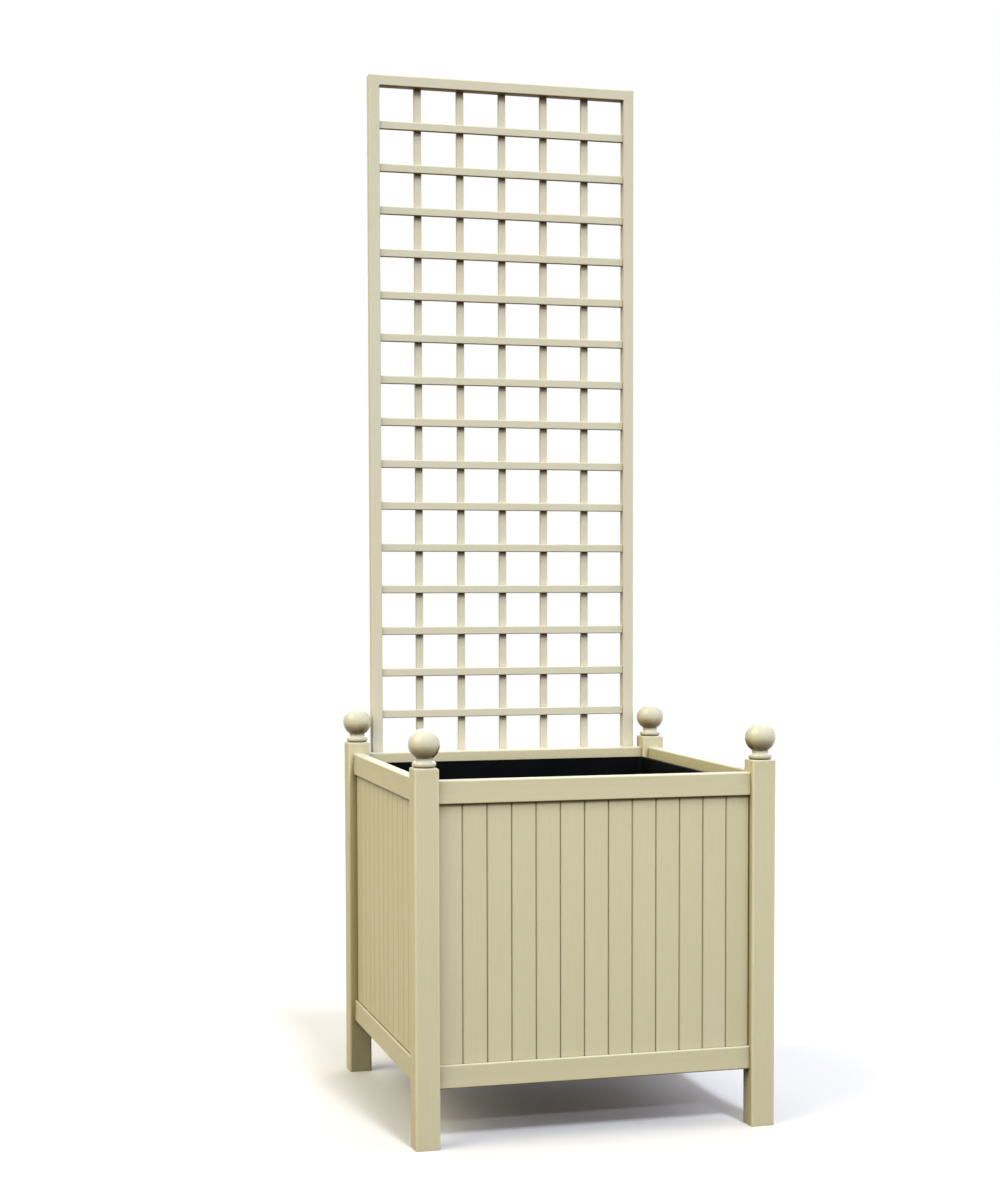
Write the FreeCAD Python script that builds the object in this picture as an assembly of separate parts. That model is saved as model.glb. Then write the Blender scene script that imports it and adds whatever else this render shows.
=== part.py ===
import FreeCAD, Part

import math
import os

# A square painted timber planter with ball finials, a lift-out liner and a trellis fixed behind it.
# Millimetres. +X is to the right, +Y to the back, +Z up, and the planter's front faces -Y.
# The origin is on the floor, in the middle of the ground that the whole object covers.

# Posts
box_width = 600.0
box_depth = 600.0
post_height = 600.0
post_side = 40.0
post_arris = 2.0

# Rails, tenoned into the posts
rail_height = 38.0
rail_thickness = 20.0
rail_arris = 1.5
rail_setback = 10.0
top_rail_drop = 20.0
bottom_rail_lift = 93.0
tenon_thickness = 8.0
tenon_length = 14.0
tenon_to_board = 2.0
glue_gap = 0.15
end_gap = 0.8
mouth_cut = 1.0

# Tongued and grooved boards, standing in grooves in the rails
boards_per_side = 13
board_thickness = 10.0
board_seat = 8.0
board_vee = 2.0
board_gap = 0.25
tongue_thickness = 3.2
tongue_length = 5.0
tongue_from_back = 2.8

# Turned finials, each with a spigot glued into its post
ball_radius = 25.0
neck_radius = 13.5
neck_height = 5.4
neck_flare_height = 2.8
collar_radius = 19.0
collar_height = 9.5
collar_ease = 3.0
spigot_radius = 6.0
spigot_length = 18.0

# Floor of the planter: a bearer on the front and back bottom rails, and slats across them
bearer_side = 20.0
bearer_end_gap = 1.0
slat_count = 5
slat_thickness = 15.0
slat_gap = 12.0
slat_edge_gap = 2.0
slat_arris = 1.0

# Liner: a straight-sided tub that stands on the slats and lifts out
liner_drop = 17.0
liner_wall = 2.5
liner_corner = 5.0
liner_lip = 4.0
liner_lip_height = 4.0
liner_side_gap = 2.0
liner_rest_gap = 0.3
drain_width = 8.0
drain_length = 40.0
drain_pitch = 150.0
drains_per_row = 3

# Trellis: two stiles and two rails, with laths in front of uprights
trellis_side_gap = 10.0
trellis_top = 1800.0
frame_side = 20.0
frame_arris = 1.5
frame_tenon_thickness = 8.0
frame_tenon_height = 12.0
frame_tenon_length = 12.0
lath_count = 15
lath_height = 14.5
lath_thickness = 8.0
lath_setback = 4.0
lath_arris = 1.0
upright_count = 5
upright_width = 13.5
housing_depth = 6.0

# Countersunk screws, kept to a few flat sides
screw_sides = 8
screw_radius = 2.0
screw_head_radius = 4.0
screw_head_height = 2.6
screw_length = 34.0
screw_sink = 0.3
screw_gap = 0.1
screws_per_bearer = 2

# Places that follow from the sizes above
rail_back = rail_setback + rail_thickness
board_front = rail_setback + (rail_thickness - board_thickness) / 2
board_back = board_front + board_thickness
tongue_back = board_back - tongue_from_back
tongue_front = tongue_back - tongue_thickness
bottom_rail_top = bottom_rail_lift + rail_height
rim = post_height - top_rail_drop
top_rail_foot = rim - rail_height
board_foot = bottom_rail_top - board_seat
board_top = top_rail_foot + board_seat
tenon_shoulder = board_seat + end_gap + tenon_to_board
bearer_top = bottom_rail_lift + bearer_side
slat_top = bearer_top + slat_thickness
liner_rim = rim - liner_drop
trellis_width = box_width - 2 * (post_side + trellis_side_gap)
stile_inside = trellis_width / 2 - frame_side
trellis_rail_foot = trellis_top - frame_side
upright_front = lath_setback + lath_thickness
trellis_front = box_depth / 2 - rail_setback
finial_reach = (box_depth - post_side) / 2 + ball_radius
front_reach = max(box_depth / 2, finial_reach)
back_reach = max(trellis_front + frame_side, finial_reach)

SIDES = {"front": 0, "right": 90, "back": 180, "left": 270}
CORNERS = {"front_left": 0, "front_right": 90, "back_right": 180, "back_left": 270}
UP = FreeCAD.Vector(0, 0, 1)
MIDDLE = FreeCAD.Vector(0, 0, 0)


# Shapes that several pieces use

def block(x0, x1, y0, y1, z0, z1):
    """A box between two corners."""
    return Part.makeBox(x1 - x0, y1 - y0, z1 - z0, FreeCAD.Vector(x0, y0, z0))


def at(shape, x, y, z=0.0):
    """A moved copy of a shape."""
    moved = shape.copy()
    moved.translate(FreeCAD.Vector(x, y, z))
    return moved


def turned(shape, degrees):
    """A copy of a shape turned about the Z axis."""
    moved = shape.copy()
    moved.rotate(MIDDLE, UP, degrees)
    return moved


def edges_along(shape, axis):
    """The straight edges that run along an axis: 0, 1 or 2 for X, Y or Z."""
    found = []
    for edge in shape.Edges:
        run = edge.Vertexes[-1].Point - edge.Vertexes[0].Point
        if run.Length > 0 and abs(abs(run[axis]) - run.Length) < 1e-6:
            found.append(edge)
    return found


def edges_at(shape, axis, place):
    """The edges that lie in a plane square to an axis."""
    return [e for e in shape.Edges if all(abs(v.Point[axis] - place) < 1e-6 for v in e.Vertexes)]


def prism(outline, z0, z1):
    """A closed outline of (x, y) points, raised from one height to another."""
    points = [FreeCAD.Vector(x, y, z0) for x, y in outline]
    return Part.Face(Part.makePolygon(points + points[:1])).extrude(UP * (z1 - z0))


def line(start, end):
    """A straight stretch of a half outline, between (radius, height) points."""
    ends = [FreeCAD.Vector(radius, 0, height) for radius, height in (start, end)]
    return Part.makeLine(*ends)


def arc(start, middle, end):
    """A round stretch of a half outline, through three (radius, height) points."""
    points = [FreeCAD.Vector(radius, 0, height) for radius, height in (start, middle, end)]
    return Part.Arc(*points).toShape()


def lathe(stretches):
    """A solid of revolution about Z from a closed half outline."""
    return Part.Face(Part.Wire(stretches)).revolve(MIDDLE, UP, 360)


def spaced(count, pitch):
    """Places of a row of things at an even pitch, centred on zero."""
    return [(i - (count - 1) / 2) * pitch for i in range(count)]


# Screws and their holes

def many_sided(rings):
    """A solid through flat-sided rings, each a (radius, height), from the highest to the lowest."""
    wires = []
    for radius, height in rings:
        turns = [2 * math.pi * i / screw_sides for i in range(screw_sides + 1)]
        points = [FreeCAD.Vector(radius * math.cos(a), radius * math.sin(a), height) for a in turns]
        wires.append(Part.makePolygon(points))
    return Part.makeLoft(wires, True, True)


def screw():
    """A countersunk screw with the top of its head at z = 0, pointing down."""
    return many_sided([(screw_head_radius, 0), (screw_radius, -screw_head_height),
                       (screw_radius, -screw_length)])


def screw_hole():
    """The space that a screw takes, up to the face that its head is sunk in."""
    head = screw_head_radius + screw_gap
    shank = screw_radius + screw_gap
    return many_sided([(head, screw_sink), (head, 0), (shank, -screw_head_height),
                       (shank, -screw_length - end_gap)])


def driven(shape, places, direction):
    """Copies of a screw or its hole, sunk at each place and pointing along a direction."""
    turn = FreeCAD.Rotation(UP * -1, direction)
    copies = []
    for place in places:
        copy = shape.copy()
        copy.Placement = FreeCAD.Placement(place + direction * screw_sink, turn)
        copies.append(copy)
    return copies


def into_trellis(shape):
    """Copies of a screw or its hole where the stiles are fixed to the back rails."""
    x = stile_inside + frame_side / 2
    y = trellis_front + frame_side
    heights = (top_rail_foot + rail_height / 2, bottom_rail_lift + rail_height / 2)
    places = [FreeCAD.Vector(side * x, y, z) for side in (-1, 1) for z in heights]
    return driven(shape, places, FreeCAD.Vector(0, -1, 0))


def into_bearer(shape, side):
    """Copies of a screw or its hole where a bearer is fixed to its bottom rail, from inside."""
    y = side * (box_depth / 2 - rail_back - bearer_side)
    z = bottom_rail_lift + bearer_side / 2
    pitch = side_span("front") / screws_per_bearer
    places = [FreeCAD.Vector(x, y, z) for x in spaced(screws_per_bearer, pitch)]
    return driven(shape, places, FreeCAD.Vector(0, side, 0))


# The planter's sides

def side_span(side):
    """The clear distance between the two posts of a side."""
    return (box_width if side in ("front", "back") else box_depth) - 2 * post_side


def on_side(shape, side):
    """Places a shape that is drawn with y = 0 on the posts' outer faces and +y inwards."""
    reach = box_depth if side in ("front", "back") else box_width
    return turned(at(shape, 0, -reach / 2), SIDES[side])


def rail(side, foot, groove_z0, groove_z1):
    """A rail with its lower edge at foot, a groove for the boards and a tenon on each end."""
    half = side_span(side) / 2
    solid = block(-half, half, rail_setback, rail_back, foot, foot + rail_height)
    solid = solid.makeChamfer(rail_arris, edges_along(solid, 0))
    groove = block(-half, half, board_front - board_gap, board_back + board_gap, groove_z0, groove_z1)
    tenon_y = rail_setback + (rail_thickness - tenon_thickness) / 2
    tenons = block(-half - tenon_length, half + tenon_length, tenon_y, tenon_y + tenon_thickness,
                   foot + tenon_shoulder, foot + rail_height - tenon_shoulder)
    return on_side(solid.cut(groove).fuse(tenons).removeSplitter(), side)


def top_rail(side):
    solid = rail(side, top_rail_foot, top_rail_foot, board_top + end_gap)
    return solid.cut(into_trellis(screw_hole())) if side == "back" else solid


def bottom_rail(side):
    solid = rail(side, bottom_rail_lift, board_foot, bottom_rail_top)
    if side == "front":
        solid = solid.cut(into_bearer(screw_hole(), -1))
    if side == "back":
        solid = solid.cut(into_bearer(screw_hole(), 1) + into_trellis(screw_hole()))
    return solid


def board(left, right, is_first):
    """One board between two joint lines, grooved on its left and tongued on its right.
    The first board is tongued on both sides, because its left side goes into a post."""
    x0 = left + board_gap / 2
    x1 = right - board_gap / 2
    tongue_end = right + tongue_length
    groove_end = left + tongue_length + board_gap
    outline = [(x0 + board_vee, board_front), (x1 - board_vee, board_front), (x1, board_front + board_vee),
               (x1, tongue_front), (tongue_end, tongue_front), (tongue_end, tongue_back), (x1, tongue_back),
               (x1, board_back), (x0, board_back)]
    if is_first:
        outline += [(x0, tongue_back), (left - tongue_length, tongue_back),
                    (left - tongue_length, tongue_front), (x0, tongue_front)]
    else:
        outline += [(x0, tongue_back + board_gap / 2), (groove_end, tongue_back + board_gap / 2),
                    (groove_end, tongue_front - board_gap / 2), (x0, tongue_front - board_gap / 2)]
    outline += [(x0, board_front + board_vee)]
    return prism(outline, board_foot, board_top)


def boards(side):
    """A side's row of boards, each its own solid."""
    pitch = side_span(side) / boards_per_side
    middles = spaced(boards_per_side, pitch)
    row = [board(x - pitch / 2, x + pitch / 2, x == middles[0]) for x in middles]
    return [on_side(one, side) for one in row]


# The posts and their finials

def post_pockets():
    """A post's mortises and board groove, drawn for the face of the front left post that
    faces +X, with the post's outer corner at x = y = 0."""
    tenon_y = rail_setback + (rail_thickness - tenon_thickness) / 2
    deep = post_side - tenon_length - end_gap
    pockets = []
    for foot in (bottom_rail_lift, top_rail_foot):
        pockets.append(block(deep, post_side, tenon_y - glue_gap, tenon_y + tenon_thickness + glue_gap,
                             foot + tenon_shoulder - glue_gap,
                             foot + rail_height - tenon_shoulder + glue_gap))
    pockets.append(block(post_side - tongue_length - board_gap, post_side,
                         tongue_front - board_gap / 2, tongue_back + board_gap / 2,
                         board_foot, board_top + end_gap))
    return pockets


def post(corner):
    """A post with eased edges, pockets on its two inner faces and a hole for its finial."""
    solid = block(0, post_side, 0, post_side, 0, post_height)
    solid = solid.makeChamfer(post_arris, edges_along(solid, 2) + edges_at(solid, 2, post_height))
    diagonal = FreeCAD.Vector(1, -1, 0)
    for pocket in post_pockets():
        solid = solid.cut([pocket, pocket.mirror(MIDDLE, diagonal)])
    half = post_side / 2
    hole = Part.makeCylinder(spigot_radius + glue_gap, spigot_length + end_gap,
                             FreeCAD.Vector(half, half, post_height), UP * -1)
    solid = turned(at(solid.cut(hole), -half, -half), CORNERS[corner])
    x, y = post_middle(corner)
    return at(solid, x, y)


def post_middle(corner):
    x = box_width / 2 - post_side / 2
    y = box_depth / 2 - post_side / 2
    return (x if "right" in corner else -x), (y if "back" in corner else -y)


def finial(corner):
    """A ball on a flared neck, an eased collar that sits on the post and a spigot inside it."""
    seat = collar_radius - collar_ease
    neck_top = collar_height + neck_height
    ball_middle = neck_top + math.sqrt(ball_radius ** 2 - neck_radius ** 2)
    ball_top = ball_middle + ball_radius
    outline = [(0, -spigot_length), (spigot_radius, -spigot_length), (spigot_radius, 0), (seat, 0),
               (collar_radius, collar_ease), (collar_radius, collar_height - collar_ease),
               (seat, collar_height), (neck_radius, collar_height + neck_flare_height),
               (neck_radius, neck_top)]
    stretches = [line(a, b) for a, b in zip(outline, outline[1:])]
    stretches.append(arc(outline[-1], (ball_radius, ball_middle), (0, ball_top)))
    stretches.append(line((0, ball_top), outline[0]))
    x, y = post_middle(corner)
    return at(lathe(stretches), x, y, post_height)


# The planter's floor

def bearer(side):
    """A batten between the posts, inside the front or back bottom rail; side is -1 for the front."""
    half = box_width / 2 - post_side - bearer_end_gap
    outside = side * (box_depth / 2 - rail_back)
    inside = outside - side * bearer_side
    solid = block(-half, half, min(inside, outside), max(inside, outside), bottom_rail_lift, bearer_top)
    return solid.cut(into_bearer(screw_hole(), side))


def slats():
    """Slats that lie across both bearers, between the bottom rails, evenly spaced."""
    span = box_width - 2 * (post_side + slat_edge_gap)
    pitch = (span + slat_gap) / slat_count
    half_width = (pitch - slat_gap) / 2
    half_length = box_depth / 2 - rail_back - slat_edge_gap
    solid = block(-half_width, half_width, -half_length, half_length, bearer_top, slat_top)
    solid = solid.makeChamfer(slat_arris, edges_along(solid, 1))
    return [at(solid, x, 0) for x in spaced(slat_count, pitch)]


# The liner

def tub(half_width, half_depth, foot, top, corner):
    """A solid with its four upright corners cut across."""
    solid = block(-half_width, half_width, -half_depth, half_depth, foot, top)
    return solid.makeChamfer(corner, edges_along(solid, 2))


def liner():
    """A straight-sided tub with a lip round its mouth and drain slots in its floor."""
    foot = slat_top + liner_rest_gap
    lip_x = box_width / 2 - post_side - liner_side_gap
    lip_y = box_depth / 2 - post_side - liner_side_gap
    x, y = lip_x - liner_lip, lip_y - liner_lip
    outside = tub(x, y, foot, liner_rim, liner_corner)
    lip = tub(lip_x, lip_y, liner_rim - liner_lip_height, liner_rim, liner_corner)
    inside = tub(x - liner_wall, y - liner_wall, foot + liner_wall, liner_rim, liner_corner)
    drains = [block(dx - drain_width / 2, dx + drain_width / 2, dy - drain_length / 2, dy + drain_length / 2,
                    foot, foot + liner_wall)
              for dx in spaced(drains_per_row, drain_pitch) for dy in spaced(drains_per_row, drain_pitch)]
    return outside.fuse(lip).removeSplitter().cut([inside] + drains)


# The trellis, drawn with y = 0 on its front face

def lath_feet():
    """The heights of the laths' lower edges, evenly spaced from the rim to the top rail."""
    clear = trellis_rail_foot - rim
    gap = (clear - lath_count * lath_height) / (lath_count + 1)
    return [rim + gap + i * (gap + lath_height) for i in range(lath_count)]


def upright_middles():
    """The uprights' places, evenly spaced between the stiles."""
    gap = (2 * stile_inside - upright_count * upright_width) / (upright_count + 1)
    return spaced(upright_count, gap + upright_width)


def lath(foot):
    """A level lath, let into both stiles."""
    half = stile_inside + housing_depth
    solid = block(-half, half, lath_setback, upright_front, foot, foot + lath_height)
    return solid.makeChamfer(lath_arris, edges_along(solid, 0))


def upright(x):
    """An upright behind the laths, let into both trellis rails."""
    half = upright_width / 2
    solid = block(x - half, x + half, upright_front, frame_side, rim - housing_depth,
                  trellis_rail_foot + housing_depth)
    return solid.makeChamfer(lath_arris, edges_along(solid, 2))


def trellis_rail(foot):
    """A rail between the stiles, tenoned into them and notched for the uprights."""
    solid = block(-stile_inside, stile_inside, 0, frame_side, foot, foot + frame_side)
    solid = solid.makeChamfer(frame_arris, edges_along(solid, 0))
    half = stile_inside + frame_tenon_length
    tenon_y = (frame_side - frame_tenon_thickness) / 2
    tenon_foot = foot + (frame_side - frame_tenon_height) / 2
    tenons = block(-half, half, tenon_y, tenon_y + frame_tenon_thickness,
                   tenon_foot, tenon_foot + frame_tenon_height)
    reach = upright_width / 2 + glue_gap
    notches = [block(x - reach, x + reach, upright_front, frame_side,
                     rim - housing_depth - glue_gap, trellis_rail_foot + housing_depth + glue_gap)
               for x in upright_middles()]
    return solid.fuse(tenons).removeSplitter().cut(notches)


def stile(side):
    """A stile with pockets for rails and laths, from the planter's bottom rail to the top.
    Its inner edges stay sharp where the top rail meets it."""
    body = block(0, frame_side, 0, frame_side, bottom_rail_lift, trellis_rail_foot)
    body = body.makeChamfer(frame_arris, edges_along(body, 2))
    head = block(0, frame_side, 0, frame_side, trellis_rail_foot, trellis_top)
    outer = [e for e in edges_along(head, 2) if e.CenterOfMass.x > frame_side / 2]
    crown = [e for e in edges_at(head, 2, trellis_top) if e.CenterOfMass.x > 0]
    head = head.makeChamfer(frame_arris, outer + crown)
    solid = body.fuse(head).removeSplitter()
    tenon_y = (frame_side - frame_tenon_thickness) / 2
    shoulder = (frame_side - frame_tenon_height) / 2
    pockets = [block(-mouth_cut, frame_tenon_length + end_gap,
                     tenon_y - glue_gap, tenon_y + frame_tenon_thickness + glue_gap,
                     foot + shoulder - glue_gap, foot + frame_side - shoulder + glue_gap)
               for foot in (trellis_rail_foot, rim - frame_side)]
    pockets += [block(-mouth_cut, housing_depth + glue_gap, lath_setback - glue_gap, upright_front + glue_gap,
                      foot - glue_gap, foot + lath_height + glue_gap) for foot in lath_feet()]
    solid = at(solid.cut(pockets), stile_inside, 0)
    return solid if side > 0 else solid.mirror(MIDDLE, FreeCAD.Vector(1, 0, 0))


def at_back(shape):
    """Places a shape of the trellis against the outer faces of the back rails."""
    return at(shape, 0, trellis_front)


def trellis():
    """The trellis's pieces by name, in place."""
    pieces = {}
    for name, side in (("left", -1), ("right", 1)):
        pieces["trellis_stile_" + name] = at_back(stile(side)).cut(into_trellis(screw_hole()))
    pieces["trellis_top_rail"] = at_back(trellis_rail(trellis_rail_foot))
    pieces["trellis_bottom_rail"] = at_back(trellis_rail(rim - frame_side))
    for number, foot in enumerate(lath_feet(), 1):
        pieces["trellis_lath_%02d" % number] = at_back(lath(foot))
    for number, x in enumerate(upright_middles(), 1):
        pieces["trellis_upright_%d" % number] = at_back(upright(x))
    return pieces


def planter():
    """Every piece by name. A list holds separate solids that share one node."""
    pieces = {"finials": [finial(corner) for corner in CORNERS]}
    for corner in CORNERS:
        pieces["post_" + corner] = post(corner)
    for side in SIDES:
        pieces["top_rail_" + side] = top_rail(side)
        pieces["bottom_rail_" + side] = bottom_rail(side)
        pieces["boards_" + side] = boards(side)
    pieces["bearer_front"] = bearer(-1)
    pieces["bearer_back"] = bearer(1)
    for number, slat in enumerate(slats(), 1):
        pieces["floor_slat_%d" % number] = slat
    pieces["liner"] = liner()
    pieces.update(trellis())
    pieces["trellis_screws"] = into_trellis(screw())
    pieces["bearer_screws"] = into_bearer(screw(), -1) + into_bearer(screw(), 1)
    return pieces


def write(pieces):
    """Moves every piece so that the origin is in the middle of the ground covered, and saves it."""
    middle = (front_reach - back_reach) / 2
    os.makedirs("parts", exist_ok=True)
    for name, piece in pieces.items():
        solids = piece if isinstance(piece, list) else [piece]
        shape = Part.makeCompound(solids) if len(solids) > 1 else solids[0].Solids[0]
        at(shape, 0, middle).exportStep("parts/%s.step" % name)
        print(name, len(shape.Solids), "solids", round(shape.Volume / 1000, 2), "cm3", shape.isValid())


write(planter())
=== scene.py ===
import math
import random

import bmesh
import bpy
from mathutils import Matrix, Vector


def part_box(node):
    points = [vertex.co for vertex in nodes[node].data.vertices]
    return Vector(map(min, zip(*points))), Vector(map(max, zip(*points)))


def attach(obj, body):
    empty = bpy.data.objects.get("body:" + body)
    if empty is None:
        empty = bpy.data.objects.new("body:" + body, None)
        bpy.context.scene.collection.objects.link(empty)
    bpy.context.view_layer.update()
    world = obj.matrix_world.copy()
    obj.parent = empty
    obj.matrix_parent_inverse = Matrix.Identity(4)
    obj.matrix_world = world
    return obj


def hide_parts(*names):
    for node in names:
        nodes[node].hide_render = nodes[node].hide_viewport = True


# A square cream-painted timber planter with ball finials, a black lift-out liner and a lattice
# trellis. Metres, in the frame of the construction: +X right, +Y back, +Z up, and the planter's
# front faces -Y.

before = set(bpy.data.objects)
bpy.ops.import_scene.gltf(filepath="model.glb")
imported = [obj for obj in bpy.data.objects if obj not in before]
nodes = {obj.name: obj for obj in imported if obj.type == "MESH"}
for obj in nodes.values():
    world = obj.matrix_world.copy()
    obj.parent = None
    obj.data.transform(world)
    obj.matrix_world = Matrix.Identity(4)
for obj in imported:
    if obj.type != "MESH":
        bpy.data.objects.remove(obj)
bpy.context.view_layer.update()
random.seed(7)

mm = 0.001
X, Y, Z = 0, 1, 2

# Paint, timber, plastic and metal, as linear colours
cream = (0.662, 0.624, 0.455)
cream_warm = (0.650, 0.595, 0.410)
# Paler paint on the arrises: worn paint, and a painted highlight
cream_thin_lit = (0.730, 0.685, 0.520)
# Painted top light on faces that look up
cream_top_lit = (0.650, 0.650, 0.620)
cream_pale = (0.718, 0.690, 0.580)
cream_dry = (0.692, 0.664, 0.535)
cream_gloss = (0.580, 0.550, 0.415)
# Brown for brush streaks, and for painted shade in joints, on undersides and towards the ground
shade_and_streak_brown = (0.230, 0.150, 0.060)
# Brown for painted shade under overhangs
painted_shade_brown = (0.220, 0.180, 0.090)
# Warmth of a painted bounce light on faces that look down
bounce_honey = (1.000, 0.930, 0.680)
pine_light = (0.430, 0.290, 0.150)
pine_dark = (0.250, 0.145, 0.060)
black_plastic = (0.0035, 0.0040, 0.0050)
plastic_dust = (0.0090, 0.0090, 0.0090)
zinc = (0.560, 0.550, 0.510)
zinc_dull = (0.330, 0.310, 0.260)

# How far the eased arrises are rounded, as a share of each chamfer's width
full_round = 0.47
board_round = 0.20
liner_round = 0.45
round_cuts, liner_cuts = 3, 5

# The liner's lip: which edges it has, by their turn and length at least, and how they are rounded
lip_turn = math.radians(80)
lip_edge = 60 * mm
lip_round = 0.7 * mm
lip_cuts = 3

# What counts as one point, as one flat face, as a sharp edge and, in degrees, as a chamfer's side
same_point = 0.004 * mm
same_face = math.radians(0.4)
sharp_edge = math.radians(50)
chamfer_turn = 45.0
chamfer_slack = 3.0

# How far each piece's noise is shifted at most
own_reach = 50.0

# The finials' turned shape
ball_radius = 25.0 * mm
ball_height = 35.9 * mm
neck_radius = 13.5 * mm
cove_radius = 2.8 * mm
collar_radius = 19.0 * mm
collar_seat = 15.5 * mm
collar_height = 9.5 * mm
spigot_radius = 6.0 * mm
spigot_length = 18.0 * mm
spigot_ease = 1.0 * mm
turned_steps = 72
bead_steps, cove_steps, ball_steps = 14, 7, 30

# How far the painted shade in joints and under an overhang reaches, how high the painted shade
# near the ground rises, and how far the overhang shade's occlusion leans from a face's direction
# towards straight above
joint_reach = 4.0 * mm
overhang_shade_reach = 24.0 * mm
low_shade_height = 0.45
overhead_lean = (0.0, 0.0, 0.9)
occlusion_samples = 6

# How strong each effect gets at most, where 1 is its colour alone
stroke_dirt = 0.04
# Painted shade in joints, under overhangs, on undersides and towards the ground
joint_shade = 0.45
overhang_shade = 0.95
underside_shade = 0.97
low_shade = 0.12
drift_share = 0.60
late_wood_share = 0.90
fibre_share = 0.35
dust_share = 0.50
bloom_share = 0.60

# The spans of a noise, of open sky and of a face's slope over which each effect comes or goes
noise_middle = (0.30, 0.70)
stroke_span = (0.35, 0.75)
worn_lit_span, worn_lit_shares = (0.35, 0.65), (0.35, 0.85)
joint_span = (0.05, 0.45)
overhead_open_span = (0.20, 0.80)
level_span, level_shares = (0.30, 0.90), (1.00, 0.35)
deep_span, deep_shares = (0.10, 0.50), (0.85, 1.00)
# Slopes over which the painted bounce warmth comes in
honey_span = (-0.35, -0.03)
low_shade_shares = (0.70, 1.30)
late_wood_span = (0.55, 1.00)
fibre_span = (0.30, 0.80)
dust_span = (0.45, 0.80)
bloom_span = (0.35, 0.70)

# Patterns in paint, timber, plastic and metal: bumps to the metre, and detail
drift_noise = (7.0, 3.0)
stroke_noise = (420.0, 3.0)
fleck_noise = (60.0, 4.0)
ring_noise = (9.0, 2.0)
fibre_noise = (900.0, 3.0)
spark_noise = (1400.0, 2.0)
dust_noise = (14.0, 5.0)
bloom_noise = (700.0, 4.0)
rings_across = 26.0

# Each pattern's scale along the grain, beside 1 across it: the smaller, the longer it is drawn out
stroke_stretch = 0.04
drift_stretch = 0.35
fleck_stretch = 0.50
ring_stretch = 0.05
fibre_stretch = 0.02

# The relief of each surface: its height and its strength, and what makes up the paint's
brush_relief = 0.10 * mm
fibre_relief, fibre_bump = 0.25 * mm, 0.50
spark_relief, spark_bump = 0.08 * mm, 0.25
stroke_weight, fleck_weight = 0.7, 0.5

# Roughness from end to end of its pattern, and how much mirror gloss a surface keeps
timber_roughness = (0.62, 0.82)
plastic_roughness = (0.46, 0.62)
zinc_roughness = (0.25, 0.45)
paint_gloss = 0.08
plastic_gloss = 0.03

# The finials' harder gloss coat
coat_share = 0.8
coat_roughness = 0.05
coat_index = 1.5

# Screws and pins; a slat's pins stand a share of its width and a distance in from its edges
head_radius = 4.0 * mm
shank_radius = 2.0 * mm
head_depth = 2.6 * mm
recess_reach = 2.3 * mm
recess_width = 0.55 * mm
recess_depth = 1.5 * mm
recess_taper = 0.6
shank_end = 30.0 * mm
screw_length = 34.0 * mm
screw_sink = 0.3 * mm
pin_radius = 1.3 * mm
pin_stand = 0.25 * mm
pin_depth = 1.0 * mm
pin_shank = 0.5
slat_pin_share = 0.25
slat_pin_inset = 8.0 * mm
round_steps, pin_steps, dome_steps = 32, 12, 4


# Node trees

def add(tree, kind, values=None, **settings):
    """A shader node, with its inputs set to plain values or linked from sockets."""
    made = tree.nodes.new("ShaderNode" + kind)
    for name, value in settings.items():
        setattr(made, name, value)
    for name, value in (values or {}).items():
        socket = made.inputs[name]
        if isinstance(value, bpy.types.NodeSocket):
            tree.links.new(value, socket)
        else:
            socket.default_value = value
    return made


def mixed(tree, share, a, b, blend="MIX"):
    """Two colours mixed by a share."""
    made = tree.nodes.new("ShaderNodeMix")
    made.data_type = "RGBA"
    made.blend_type = blend
    for socket, value in zip((made.inputs[0], made.inputs[6], made.inputs[7]), (share, a, b)):
        if isinstance(value, bpy.types.NodeSocket):
            tree.links.new(value, socket)
        elif isinstance(value, tuple):
            socket.default_value = (*value, 1.0)
        else:
            socket.default_value = value
    return made.outputs[2]


def ranged(tree, value, low, high, to_low, to_high):
    """A value carried from one range to another, held inside it."""
    made = add(tree, "MapRange", {"Value": value, "From Min": low, "From Max": high,
                                  "To Min": to_low, "To Max": to_high})
    return made.outputs["Result"]


def math_of(tree, operation, a, b=0.0):
    """The result of one operation on sockets or numbers."""
    made = tree.nodes.new("ShaderNodeMath")
    made.operation = operation
    for socket, value in zip(made.inputs, (a, b)):
        if isinstance(value, bpy.types.NodeSocket):
            tree.links.new(value, socket)
        else:
            socket.default_value = value
    return made.outputs[0]


def noise(tree, place, scale, detail, own):
    """Noise that differs from piece to piece."""
    made = add(tree, "TexNoise", {"Vector": place, "Scale": scale, "Detail": detail, "W": own},
               noise_dimensions="4D")
    return made.outputs["Fac"]


def stretched(tree, axis, along):
    """Object coordinates drawn out along one axis, as grain and brush strokes are."""
    place = add(tree, "TexCoord").outputs["Object"]
    scale = [1.0, 1.0, 1.0]
    scale[axis] = along
    return add(tree, "Mapping", {"Vector": place, "Scale": scale}).outputs["Vector"]


def material(name):
    """A new material, with its tree and its shader."""
    made = bpy.data.materials.new(name)
    made.use_nodes = True
    tree = made.node_tree
    shader = tree.nodes["Principled BSDF"]
    return made, tree, shader


# Materials

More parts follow.
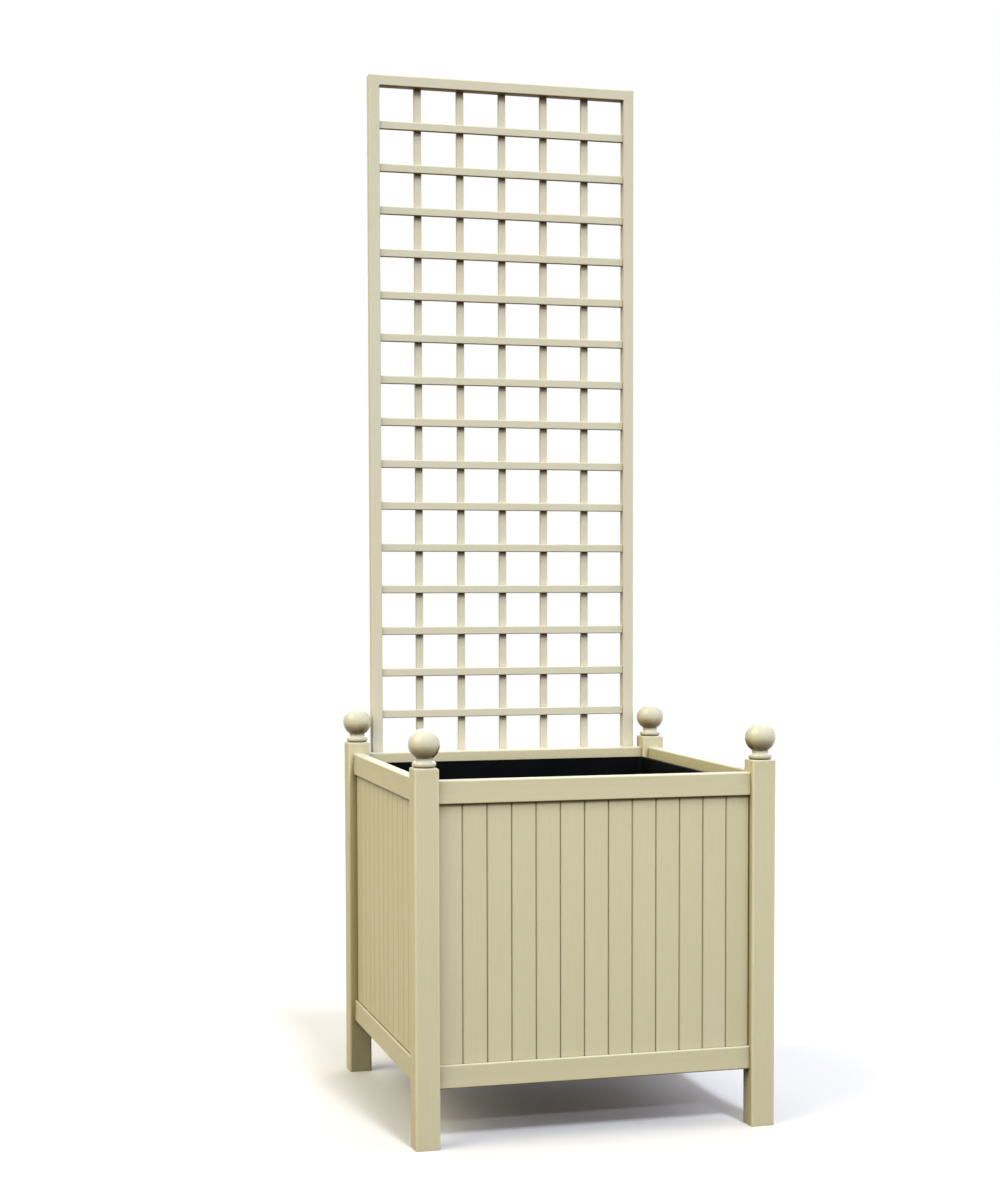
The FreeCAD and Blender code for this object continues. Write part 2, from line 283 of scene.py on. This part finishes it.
def paint(name, axis, colour=cream, warm=cream_warm, roughness=(0.42, 0.55), brush=0.14,
          top_lit=(0.70, 0.98), under=(-0.75, -0.10)):
    """Satin paint brushed along one axis: faint strokes, paler worn arrises with a painted
    highlight, painted shade in the joints, under overhangs, on undersides and towards the ground, a
    painted warm bounce on faces that look down, and painted top light on faces that look up. The
    ranges give the roughness, and between which slopes a face turns paler on top or darker
    underneath."""
    made, tree, shader = material(name)
    own = add(tree, "Attribute", attribute_name="own").outputs["Fac"]
    arris = add(tree, "Attribute", attribute_name="arris").outputs["Fac"]
    grain = stretched(tree, axis, stroke_stretch)
    drift = noise(tree, stretched(tree, axis, drift_stretch), *drift_noise, own)
    strokes = noise(tree, grain, *stroke_noise, own)
    fleck = noise(tree, stretched(tree, axis, fleck_stretch), *fleck_noise, own)
    tone = mixed(tree, ranged(tree, drift, *noise_middle, 0.0, drift_share), colour, warm)
    streaked = ranged(tree, strokes, *stroke_span, 0.0, stroke_dirt)
    tone = mixed(tree, streaked, tone, shade_and_streak_brown, "MULTIPLY")
    # Paler on the rounded arrises: worn paint, and a painted highlight along the edges
    worn_and_lit = math_of(tree, "MULTIPLY", arris, ranged(tree, fleck, *worn_lit_span, *worn_lit_shares))
    tone = mixed(tree, worn_and_lit, tone, cream_thin_lit)
    # Painted shade in joints and creases, from occlusion
    joints = add(tree, "AmbientOcclusion", {"Distance": joint_reach},
                 samples=occlusion_samples).outputs["AO"]
    shaded_joints = ranged(tree, joints, *joint_span, joint_shade, 0.0)
    tone = mixed(tree, shaded_joints, tone, shade_and_streak_brown, "MULTIPLY")
    facing = add(tree, "NewGeometry").outputs["Normal"]
    # Painted shade under overhangs, from occlusion leaned towards straight above, less on ledges
    # and in narrow joints
    lean_up = add(tree, "VectorMath", {0: facing, 1: overhead_lean}, operation="ADD").outputs["Vector"]
    up = add(tree, "SeparateXYZ", {"Vector": facing}).outputs["Z"]
    overhead_open = add(tree, "AmbientOcclusion", {"Distance": overhang_shade_reach, "Normal": lean_up},
                 samples=occlusion_samples).outputs["AO"]
    overhang_shaded = math_of(tree, "MULTIPLY", ranged(tree, overhead_open, *overhead_open_span, overhang_shade, 0.0),
                        ranged(tree, up, *level_span, *level_shares))
    overhang_shaded = math_of(tree, "MULTIPLY", overhang_shaded,
                        ranged(tree, joints, *deep_span, *deep_shares))
    tone = mixed(tree, overhang_shaded, tone, painted_shade_brown, "MULTIPLY")
    # Painted warm bounce light on faces that look down
    tone = mixed(tree, ranged(tree, up, *honey_span, 1.0, 0.0), tone, bounce_honey, "MULTIPLY")
    # Painted shade on undersides
    below = ranged(tree, up, *under, underside_shade, 0.0)
    tone = mixed(tree, below, tone, shade_and_streak_brown, "MULTIPLY")
    # Painted shade, darker towards the bottom
    place = add(tree, "TexCoord").outputs["Object"]
    height = add(tree, "SeparateXYZ", {"Vector": place}).outputs["Z"]
    low_shaded = math_of(tree, "MULTIPLY", ranged(tree, height, 0.0, low_shade_height, low_shade, 0.0),
                     ranged(tree, drift, *noise_middle, *low_shade_shares))
    tone = mixed(tree, low_shaded, tone, shade_and_streak_brown, "MULTIPLY")
    # Painted top light on faces that look up
    tone = mixed(tree, ranged(tree, up, *top_lit, 0.0, 1.0), tone, cream_top_lit)
    tree.links.new(tone, shader.inputs["Base Color"])
    rough = ranged(tree, fleck, *noise_middle, *roughness)
    tree.links.new(rough, shader.inputs["Roughness"])
    relief = math_of(tree, "ADD", math_of(tree, "MULTIPLY", strokes, stroke_weight),
                     math_of(tree, "MULTIPLY", fleck, fleck_weight))
    bump = add(tree, "Bump", {"Height": relief, "Strength": brush, "Distance": brush_relief})
    tree.links.new(bump.outputs["Normal"], shader.inputs["Normal"])
    shader.inputs["Specular IOR Level"].default_value = paint_gloss
    return made


def bare_timber(name, axis):
    """Treated softwood with growth rings, knots left out, sawn faces a little rough."""
    made, tree, shader = material(name)
    own = add(tree, "Attribute", attribute_name="own").outputs["Fac"]
    place = stretched(tree, axis, ring_stretch)
    bend = noise(tree, place, *ring_noise, own)
    shift = math_of(tree, "MULTIPLY", bend, rings_across)
    rings = math_of(tree, "FRACT", math_of(tree, "ADD", shift, own))
    late = ranged(tree, rings, *late_wood_span, 0.0, late_wood_share)
    fibres = noise(tree, stretched(tree, axis, fibre_stretch), *fibre_noise, own)
    tone = mixed(tree, late, pine_light, pine_dark)
    tone = mixed(tree, ranged(tree, fibres, *fibre_span, 0.0, fibre_share), tone, pine_dark)
    tree.links.new(tone, shader.inputs["Base Color"])
    rough = ranged(tree, fibres, *noise_middle, *timber_roughness)
    tree.links.new(rough, shader.inputs["Roughness"])
    bump = add(tree, "Bump", {"Height": fibres, "Strength": fibre_bump, "Distance": fibre_relief})
    tree.links.new(bump.outputs["Normal"], shader.inputs["Normal"])
    return made


def moulded_plastic(name):
    """Black moulded plastic with a fine spark texture and dusty patches."""
    made, tree, shader = material(name)
    own = add(tree, "Attribute", attribute_name="own").outputs["Fac"]
    place = add(tree, "TexCoord").outputs["Object"]
    spark = noise(tree, place, *spark_noise, own)
    dust = noise(tree, place, *dust_noise, own)
    dusty = ranged(tree, dust, *dust_span, 0.0, dust_share)
    tone = mixed(tree, dusty, black_plastic, plastic_dust)
    tree.links.new(tone, shader.inputs["Base Color"])
    rough = ranged(tree, dust, *noise_middle, *plastic_roughness)
    tree.links.new(rough, shader.inputs["Roughness"])
    bump = add(tree, "Bump", {"Height": spark, "Strength": spark_bump, "Distance": spark_relief})
    tree.links.new(bump.outputs["Normal"], shader.inputs["Normal"])
    shader.inputs["Specular IOR Level"].default_value = plastic_gloss
    return made


def plated_steel(name):
    """Zinc-plated steel with dull patches."""
    made, tree, shader = material(name)
    own = add(tree, "Attribute", attribute_name="own").outputs["Fac"]
    place = add(tree, "TexCoord").outputs["Object"]
    bloom = noise(tree, place, *bloom_noise, own)
    tone = mixed(tree, ranged(tree, bloom, *bloom_span, 0.0, bloom_share), zinc, zinc_dull)
    tree.links.new(tone, shader.inputs["Base Color"])
    rough = ranged(tree, bloom, *noise_middle, *zinc_roughness)
    tree.links.new(rough, shader.inputs["Roughness"])
    shader.inputs["Metallic"].default_value = 1.0
    return made


paint_along = [paint("cream_paint_" + "xyz"[axis], axis) for axis in (X, Y, Z)]
trellis_paint_along = [paint("trellis_paint_" + "xyz"[axis], axis, cream_pale, cream_dry)
                       for axis in (X, Y, Z)]
# The finials' paint: painted top light over most of the ball and painted shade on its lower part
finial_paint = paint("finial_paint", Z, cream_gloss, cream_dry, roughness=(0.10, 0.18), brush=0.03,
                     top_lit=(0.10, 1.00), under=(-0.70, 0.02))
timber_along = [bare_timber("bare_timber_" + "xyz"[axis], axis) for axis in (X, Y, Z)]
liner_plastic = moulded_plastic("liner_plastic")
screw_steel = plated_steel("screw_steel")
finial_coat = finial_paint.node_tree.nodes["Principled BSDF"].inputs
finial_coat["Coat Weight"].default_value = coat_share
finial_coat["Coat Roughness"].default_value = coat_roughness
finial_coat["Coat IOR"].default_value = coat_index


# Meshes

def finished(bm, name, look, body, stands_for):
    """Turns a bmesh into a piece of the scene that rides on a body."""
    mesh = bpy.data.meshes.new(name)
    for face in bm.faces:
        face.smooth = True
    bm.normal_update()
    bm.to_mesh(mesh)
    bm.free()
    own = mesh.attributes.new("own", "FLOAT", "POINT")
    own.data.foreach_set("value", [random.uniform(0.0, own_reach)] * len(mesh.vertices))
    mesh.set_sharp_from_angle(angle=sharp_edge)
    mesh.materials.append(look)
    piece = bpy.data.objects.new(name, mesh)
    bpy.context.scene.collection.objects.link(piece)
    flats = piece.modifiers.new("flats", "WEIGHTED_NORMAL")
    flats.keep_sharp = True
    flats.weight = 100
    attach(piece, body)
    if stands_for:
        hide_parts(stands_for)


def plain_faces(node):
    """A node's mesh with its triangles merged back into flat faces."""
    bm = bmesh.new()
    bm.from_mesh(nodes[node].data)
    bmesh.ops.remove_doubles(bm, verts=bm.verts, dist=same_point)
    bmesh.ops.dissolve_limit(bm, angle_limit=same_face, verts=bm.verts, edges=bm.edges)
    return bm


def islands(bm):
    """The separate solids in a bmesh, each as its own. Boards along X come from left to right. The
    sums that sort those along Y differ only by rounding, so the order of these isn't fixed."""
    left = set(bm.faces)
    found = []
    while left:
        group, reach = set(), [next(iter(left))]
        while reach:
            face = reach.pop()
            if face in group:
                continue
            group.add(face)
            reach += [other for edge in face.edges for other in edge.link_faces
                      if other not in group]
        left -= group
        single = bmesh.new()
        made = {v: single.verts.new(v.co) for v in {v for face in group for v in face.verts}}
        for face in group:
            single.faces.new([made[v] for v in face.verts])
        found.append(single)
    return sorted(found, key=lambda one: sum((v.co for v in one.verts), Vector()).to_tuple(6))


def is_eased(edge):
    """Whether an edge is one side of a chamfer: it turns about half a right angle."""
    if len(edge.link_faces) != 2:
        return False
    turn = math.degrees(edge.calc_face_angle(0.0))
    return edge.is_convex and abs(turn - chamfer_turn) < chamfer_slack


def rounded(bm, share, steps=round_cuts):
    """Rounds both sides of each chamfer by a share of its width, and marks the arrises' faces."""
    layer = bm.faces.layers.float.new("arris")
    bm.edges.ensure_lookup_table()
    eased = [edge for edge in bm.edges if is_eased(edge)]
    if not eased:
        return
    widths = []
    for edge in eased:
        for face in edge.link_faces:
            across = [other.calc_length() for other in face.edges
                      if not set(other.verts).isdisjoint(edge.verts) and other is not edge]
            widths.append(min(across))
    width = min(widths)
    made = bmesh.ops.bevel(bm, geom=eased, offset=width * share, offset_type="OFFSET",
                           segments=steps, profile=0.5, affect="EDGES", clamp_overlap=True)
    for face in made["faces"]:
        face[layer] = 1.0


def timber(node, look):
    """A node's own shape with its arrises rounded, in paint or bare timber."""
    bm = plain_faces(node)
    rounded(bm, full_round)
    finished(bm, node + "_wood", look, "planter", node)


def round_ring(bm, radius, height, steps):
    """A level ring of points round the Z axis."""
    turns = [2 * math.pi * i / steps for i in range(steps)]
    return [bm.verts.new((radius * math.cos(a), radius * math.sin(a), height)) for a in turns]


def lathed(outline, steps):
    """A closed turned shape from (radius, height) points; the first and last lie on the axis."""
    bm = bmesh.new()
    foot = bm.verts.new((0, 0, outline[0][1]))
    top = bm.verts.new((0, 0, outline[-1][1]))
    rings = [round_ring(bm, radius, height, steps) for radius, height in outline[1:-1]]
    for i in range(steps):
        j = (i + 1) % steps
        bm.faces.new((foot, rings[0][j], rings[0][i]))
        bm.faces.new((top, rings[-1][i], rings[-1][j]))
        for low, high in zip(rings, rings[1:]):
            bm.faces.new((low[i], low[j], high[j], high[i]))
    return bm


def arc_points(centre, radii, start, end, steps):
    """Points of an elliptical arc in a half outline, in degrees from the level."""
    turns = [math.radians(start + (end - start) * i / steps) for i in range(steps + 1)]
    return [(centre[0] + radii[0] * math.cos(a), centre[1] + radii[1] * math.sin(a)) for a in turns]


def finial_outline():
    """Spigot, beaded collar, coved neck and ball, as (radius, height above the post)."""
    bead = (collar_radius - collar_seat, collar_height / 2)
    points = [(0, -spigot_length), (spigot_radius - spigot_ease, -spigot_length),
              (spigot_radius, spigot_ease - spigot_length), (spigot_radius, 0)]
    points += arc_points((collar_seat, collar_height / 2), bead, -90, 90, bead_steps)
    points += arc_points((neck_radius + cove_radius, collar_height + cove_radius),
                         (cove_radius, cove_radius), 270, 180, cove_steps)
    start = -math.degrees(math.acos(neck_radius / ball_radius))
    ball = arc_points((0, ball_height), (ball_radius, ball_radius), start, 90, ball_steps)
    return points + ball[:-1] + [(0, ball_height + ball_radius)]


# The timber

posts = [name for name in nodes if name.startswith("post_")]
for name in posts:
    timber(name, paint_along[Z])

for side in ("front", "right", "back", "left"):
    along = X if side in ("front", "back") else Y
    timber("top_rail_" + side, paint_along[along])
    timber("bottom_rail_" + side, paint_along[along])
    for number, board in enumerate(islands(plain_faces("boards_" + side)), 1):
        rounded(board, board_round)
        finished(board, "board_%s_%02d" % (side, number), paint_along[Z], "planter",
                 "boards_" + side)

for name in [name for name in nodes if name.startswith("trellis_") and name != "trellis_screws"]:
    along = Z if "stile" in name or "upright" in name else X
    timber(name, trellis_paint_along[along])

unpainted = ("floor_slat", "bearer_front", "bearer_back")
for name in [name for name in nodes if name.startswith(unpainted)]:
    timber(name, timber_along[Y if "slat" in name else X])


# The finials

post_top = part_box("post_front_left")[1].z
for name in posts:
    low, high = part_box(name)
    turned = lathed(finial_outline(), turned_steps)
    bmesh.ops.translate(turned, verts=turned.verts,
                        vec=((low.x + high.x) / 2, (low.y + high.y) / 2, post_top))
    finished(turned, name.replace("post", "finial"), finial_paint, "planter",
             "finials")


# The liner

def liner():
    """The tub with its corners and its lip rounded."""
    bm = plain_faces("liner")
    rounded(bm, liner_round, liner_cuts)
    lip = [edge for edge in bm.edges if len(edge.link_faces) == 2 and edge.is_convex
           and edge.calc_face_angle(0.0) > lip_turn and edge.calc_length() > lip_edge]
    bmesh.ops.bevel(bm, geom=lip, offset=lip_round, offset_type="OFFSET",
                    segments=lip_cuts, profile=0.5, affect="EDGES", clamp_overlap=True)
    finished(bm, "liner_tub", liner_plastic, "liner", "liner")


liner()


# Fixings

def screw():
    """A countersunk screw with a cross recess, its head's face at z = 0 and pointing down."""
    bm = bmesh.new()
    face = round_ring(bm, head_radius, 0, round_steps)
    w, r = recess_width, recess_reach
    cross = [(r, w), (w, w), (w, r), (-w, r), (-w, w), (-r, w),
             (-r, -w), (-w, -w), (-w, -r), (w, -r), (w, -w), (r, -w)]
    mouth = [bm.verts.new((x, y, 0)) for x, y in cross]
    floor = [bm.verts.new((x * recess_taper, y * recess_taper, -recess_depth)) for x, y in cross]
    loops = [bm.edges.new(pair) for ring in (face, mouth)
             for pair in zip(ring, ring[1:] + ring[:1])]
    bmesh.ops.triangle_fill(bm, edges=loops, use_beauty=True)
    for i in range(len(cross)):
        j = (i + 1) % len(cross)
        bm.faces.new((mouth[i], mouth[j], floor[j], floor[i]))
    bm.faces.new(floor)
    neck = round_ring(bm, shank_radius, -head_depth, round_steps)
    tip_start = round_ring(bm, shank_radius, -shank_end, round_steps)
    tip = bm.verts.new((0, 0, -screw_length))
    for i in range(round_steps):
        j = (i + 1) % round_steps
        for high, low in ((face, neck), (neck, tip_start)):
            bm.faces.new((high[i], low[i], low[j], high[j]))
        bm.faces.new((tip_start[i], tip, tip_start[j]))
    bmesh.ops.recalc_face_normals(bm, faces=bm.faces)
    return bm


def driven_screw(name, place, direction, stands_for):
    """A screw whose head lies at a place and faces along a direction, turned at random."""
    bm = screw()
    turn = Vector((0, 0, -1)).rotation_difference(Vector(direction)).to_matrix().to_4x4()
    spin = Matrix.Rotation(random.uniform(0, math.pi / 2), 4, "Z")
    bm.transform(Matrix.Translation(place) @ turn @ spin)
    finished(bm, name, screw_steel, "planter", stands_for)


screw_low, screw_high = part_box("trellis_screws")
for tag, x in (("left", screw_low.x + head_radius), ("right", screw_high.x - head_radius)):
    for level, z in (("low", screw_low.z + head_radius), ("high", screw_high.z - head_radius)):
        driven_screw("trellis_screw_%s_%s" % (tag, level), Vector((x, screw_high.y, z)), (0, -1, 0),
                     "trellis_screws")

bearer_low, bearer_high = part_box("bearer_screws")
for tag, x in (("left", bearer_low.x + head_radius), ("right", bearer_high.x - head_radius)):
    z = (bearer_low.z + bearer_high.z) / 2
    for end, y, towards in (("front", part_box("bearer_front")[1].y - screw_sink, -1),
                            ("back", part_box("bearer_back")[0].y + screw_sink, 1)):
        driven_screw("bearer_screw_%s_%s" % (end, tag), Vector((x, y, z)), (0, towards, 0),
                     "bearer_screws")


def pin_head():
    """The domed head of a small pin, painted or galvanised, its underside at z = 0."""
    dome = arc_points((0, 0), (pin_radius, pin_stand), 0, 90, dome_steps)
    shank = pin_radius * pin_shank
    return lathed([(0, -pin_depth), (shank, -pin_depth), (shank, 0)] + dome, pin_steps)


def pinned(name, places, direction, look):
    """One piece that holds a row of pin heads."""
    row = bmesh.new()
    turn = Vector((0, 0, 1)).rotation_difference(Vector(direction)).to_matrix().to_4x4()
    for place in places:
        head = pin_head()
        head.transform(Matrix.Translation(place) @ turn)
        mesh = bpy.data.meshes.new("pin")
        head.to_mesh(mesh)
        head.free()
        row.from_mesh(mesh)
        bpy.data.meshes.remove(mesh)
    finished(row, name, look, "planter", None)


# Pins fix the floor slats to the bearers, two at each end
slats = sorted(name for name in nodes if name.startswith("floor_slat"))
for name in slats:
    low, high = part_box(name)
    places = []
    aside = (high.x - low.x) * slat_pin_share
    for x in (low.x + aside, high.x - aside):
        for y in (low.y + slat_pin_inset, high.y - slat_pin_inset):
            places.append(Vector((x, y, high.z)))
    pinned(name + "_pins", places, (0, 0, 1), screw_steel)

# Pins fix each upright to the laths from behind
laths = sorted(name for name in nodes if name.startswith("trellis_lath"))
for name in sorted(name for name in nodes if name.startswith("trellis_upright")):
    low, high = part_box(name)
    places = [Vector(((low.x + high.x) / 2, high.y, sum(c.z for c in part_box(lath)) / 2))
              for lath in laths]
    pinned(name + "_pins", places, (0, 1, 0), trellis_paint_along[Z])


# The studio

shade_start = 3.0
shade_end = 6.0
floor_bounce = (0.060, 0.056, 0.046)
floor_white = (0.77, 0.78, 0.86)
floor_radius = 30.0
floor_corners = 64
floor_drop = 0.4 * mm
floor_roughness = 0.9
floor_gloss = 0.1
white = (1.0, 1.0, 1.0)
warm_white = (1.0, 0.96, 0.86)
broad_lamp = 45


def seen_share(tree):
    """1 for what the camera sees, straight or by reflection or through glass, and otherwise 0."""
    rays = add(tree, "LightPath").outputs
    mirrored = math_of(tree, "MAXIMUM", rays["Is Glossy Ray"], rays["Is Transmission Ray"])
    return math_of(tree, "MAXIMUM", rays["Is Camera Ray"], mirrored)


def studio_floor():
    """A pale floor that keeps the shadow near the object and runs out to white."""
    bm = bmesh.new()
    bmesh.ops.create_circle(bm, cap_ends=True, segments=floor_corners, radius=floor_radius)
    mesh = bpy.data.meshes.new("studio_floor")
    bm.to_mesh(mesh)
    bm.free()
    floor = bpy.data.objects.new("studio_floor", mesh)
    floor.location.z = -floor_drop
    bpy.context.scene.collection.objects.link(floor)
    look, tree, shader = material("pale_floor")
    shader.inputs["Roughness"].default_value = floor_roughness
    shader.inputs["Specular IOR Level"].default_value = floor_gloss
    seen = seen_share(tree)
    tree.links.new(mixed(tree, seen, floor_bounce, floor_white), shader.inputs["Base Color"])
    place = add(tree, "TexCoord").outputs["Object"]
    reach = add(tree, "VectorMath", {0: place}, operation="LENGTH").outputs["Value"]
    far = math_of(tree, "MULTIPLY", ranged(tree, reach, shade_start, shade_end, 0.0, 1.0), seen)
    glow = add(tree, "Emission", {"Color": (*white, 1.0), "Strength": 1.0})
    blend = add(tree, "MixShader", {0: far, 1: shader.outputs[0], 2: glow.outputs[0]})
    tree.links.new(blend.outputs[0], tree.nodes["Material Output"].inputs["Surface"])
    mesh.materials.append(look)


def studio_world(light, backdrop):
    """Even light all round, seen as a white backdrop."""
    world = bpy.data.worlds.new("studio")
    bpy.context.scene.world = world
    world.use_nodes = True
    tree = world.node_tree
    seen = seen_share(tree)
    strength = ranged(tree, seen, 0.0, 1.0, light, backdrop)
    sky = tree.nodes["Background"].inputs
    tree.links.new(strength, sky["Strength"])
    tree.links.new(mixed(tree, seen, warm_white, white), sky["Color"])


def soft_sun(name, azimuth, height, spread, light, colour=white):
    """Even light from far away. Azimuth 0 is the front and 90 the right, and under light 1 a colour
    shows as written. Only a broad lamp shows in reflections."""
    lamp = bpy.data.lights.new(name, "SUN")
    lamp.angle = math.radians(spread)
    lamp.energy = light * math.pi
    lamp.color = colour
    made = bpy.data.objects.new(name, lamp)
    turn, rise = math.radians(azimuth), math.radians(height)
    towards = Vector((math.sin(turn) * math.cos(rise), -math.cos(turn) * math.cos(rise),
                      math.sin(rise)))
    made.rotation_euler = towards.to_track_quat("Z", "Y").to_euler()
    made.visible_glossy = spread > broad_lamp
    bpy.context.scene.collection.objects.link(made)


studio_floor()
studio_world(light=0.42, backdrop=1.0)
soft_sun("key", azimuth=7.5, height=48, spread=10, light=0.55, colour=(0.93, 0.98, 1.00))
soft_sun("low_key", azimuth=7.5, height=30, spread=3, light=0.16)
soft_sun("fill", azimuth=-76, height=42, spread=50, light=0.67, colour=(1.00, 0.90, 0.57))
soft_sun("right", azimuth=80, height=25, spread=40, light=0.28)
soft_sun("back", azimuth=165, height=30, spread=60, light=0.42, colour=(1.00, 0.97, 0.92))


# The camera, solved from the photograph's perspective

picture_width, picture_height = 1000, 1188
optical_centre = (535.0, 700.0)
focal_pixels = 2094.5
camera_place = (-0.9843, -3.4625, 0.8843)
camera_yaw = math.radians(15.538)
camera_pitch = math.radians(-3.149)
camera_roll = math.radians(0.079)
sensor = 36.0

view = bpy.data.cameras.new("camera")
view.sensor_width = sensor
view.lens = focal_pixels * sensor / picture_height
view.shift_x = (picture_width / 2 - optical_centre[0]) / picture_height
view.shift_y = (optical_centre[1] - picture_height / 2) / picture_height
view.clip_end = 100.0
camera = bpy.data.objects.new("camera", view)
camera.location = camera_place
camera.rotation_euler = (math.pi / 2 + camera_pitch, camera_roll, -camera_yaw)
bpy.context.scene.collection.objects.link(camera)
bpy.context.scene.camera = camera
bpy.context.scene.view_settings.view_transform = "Standard"
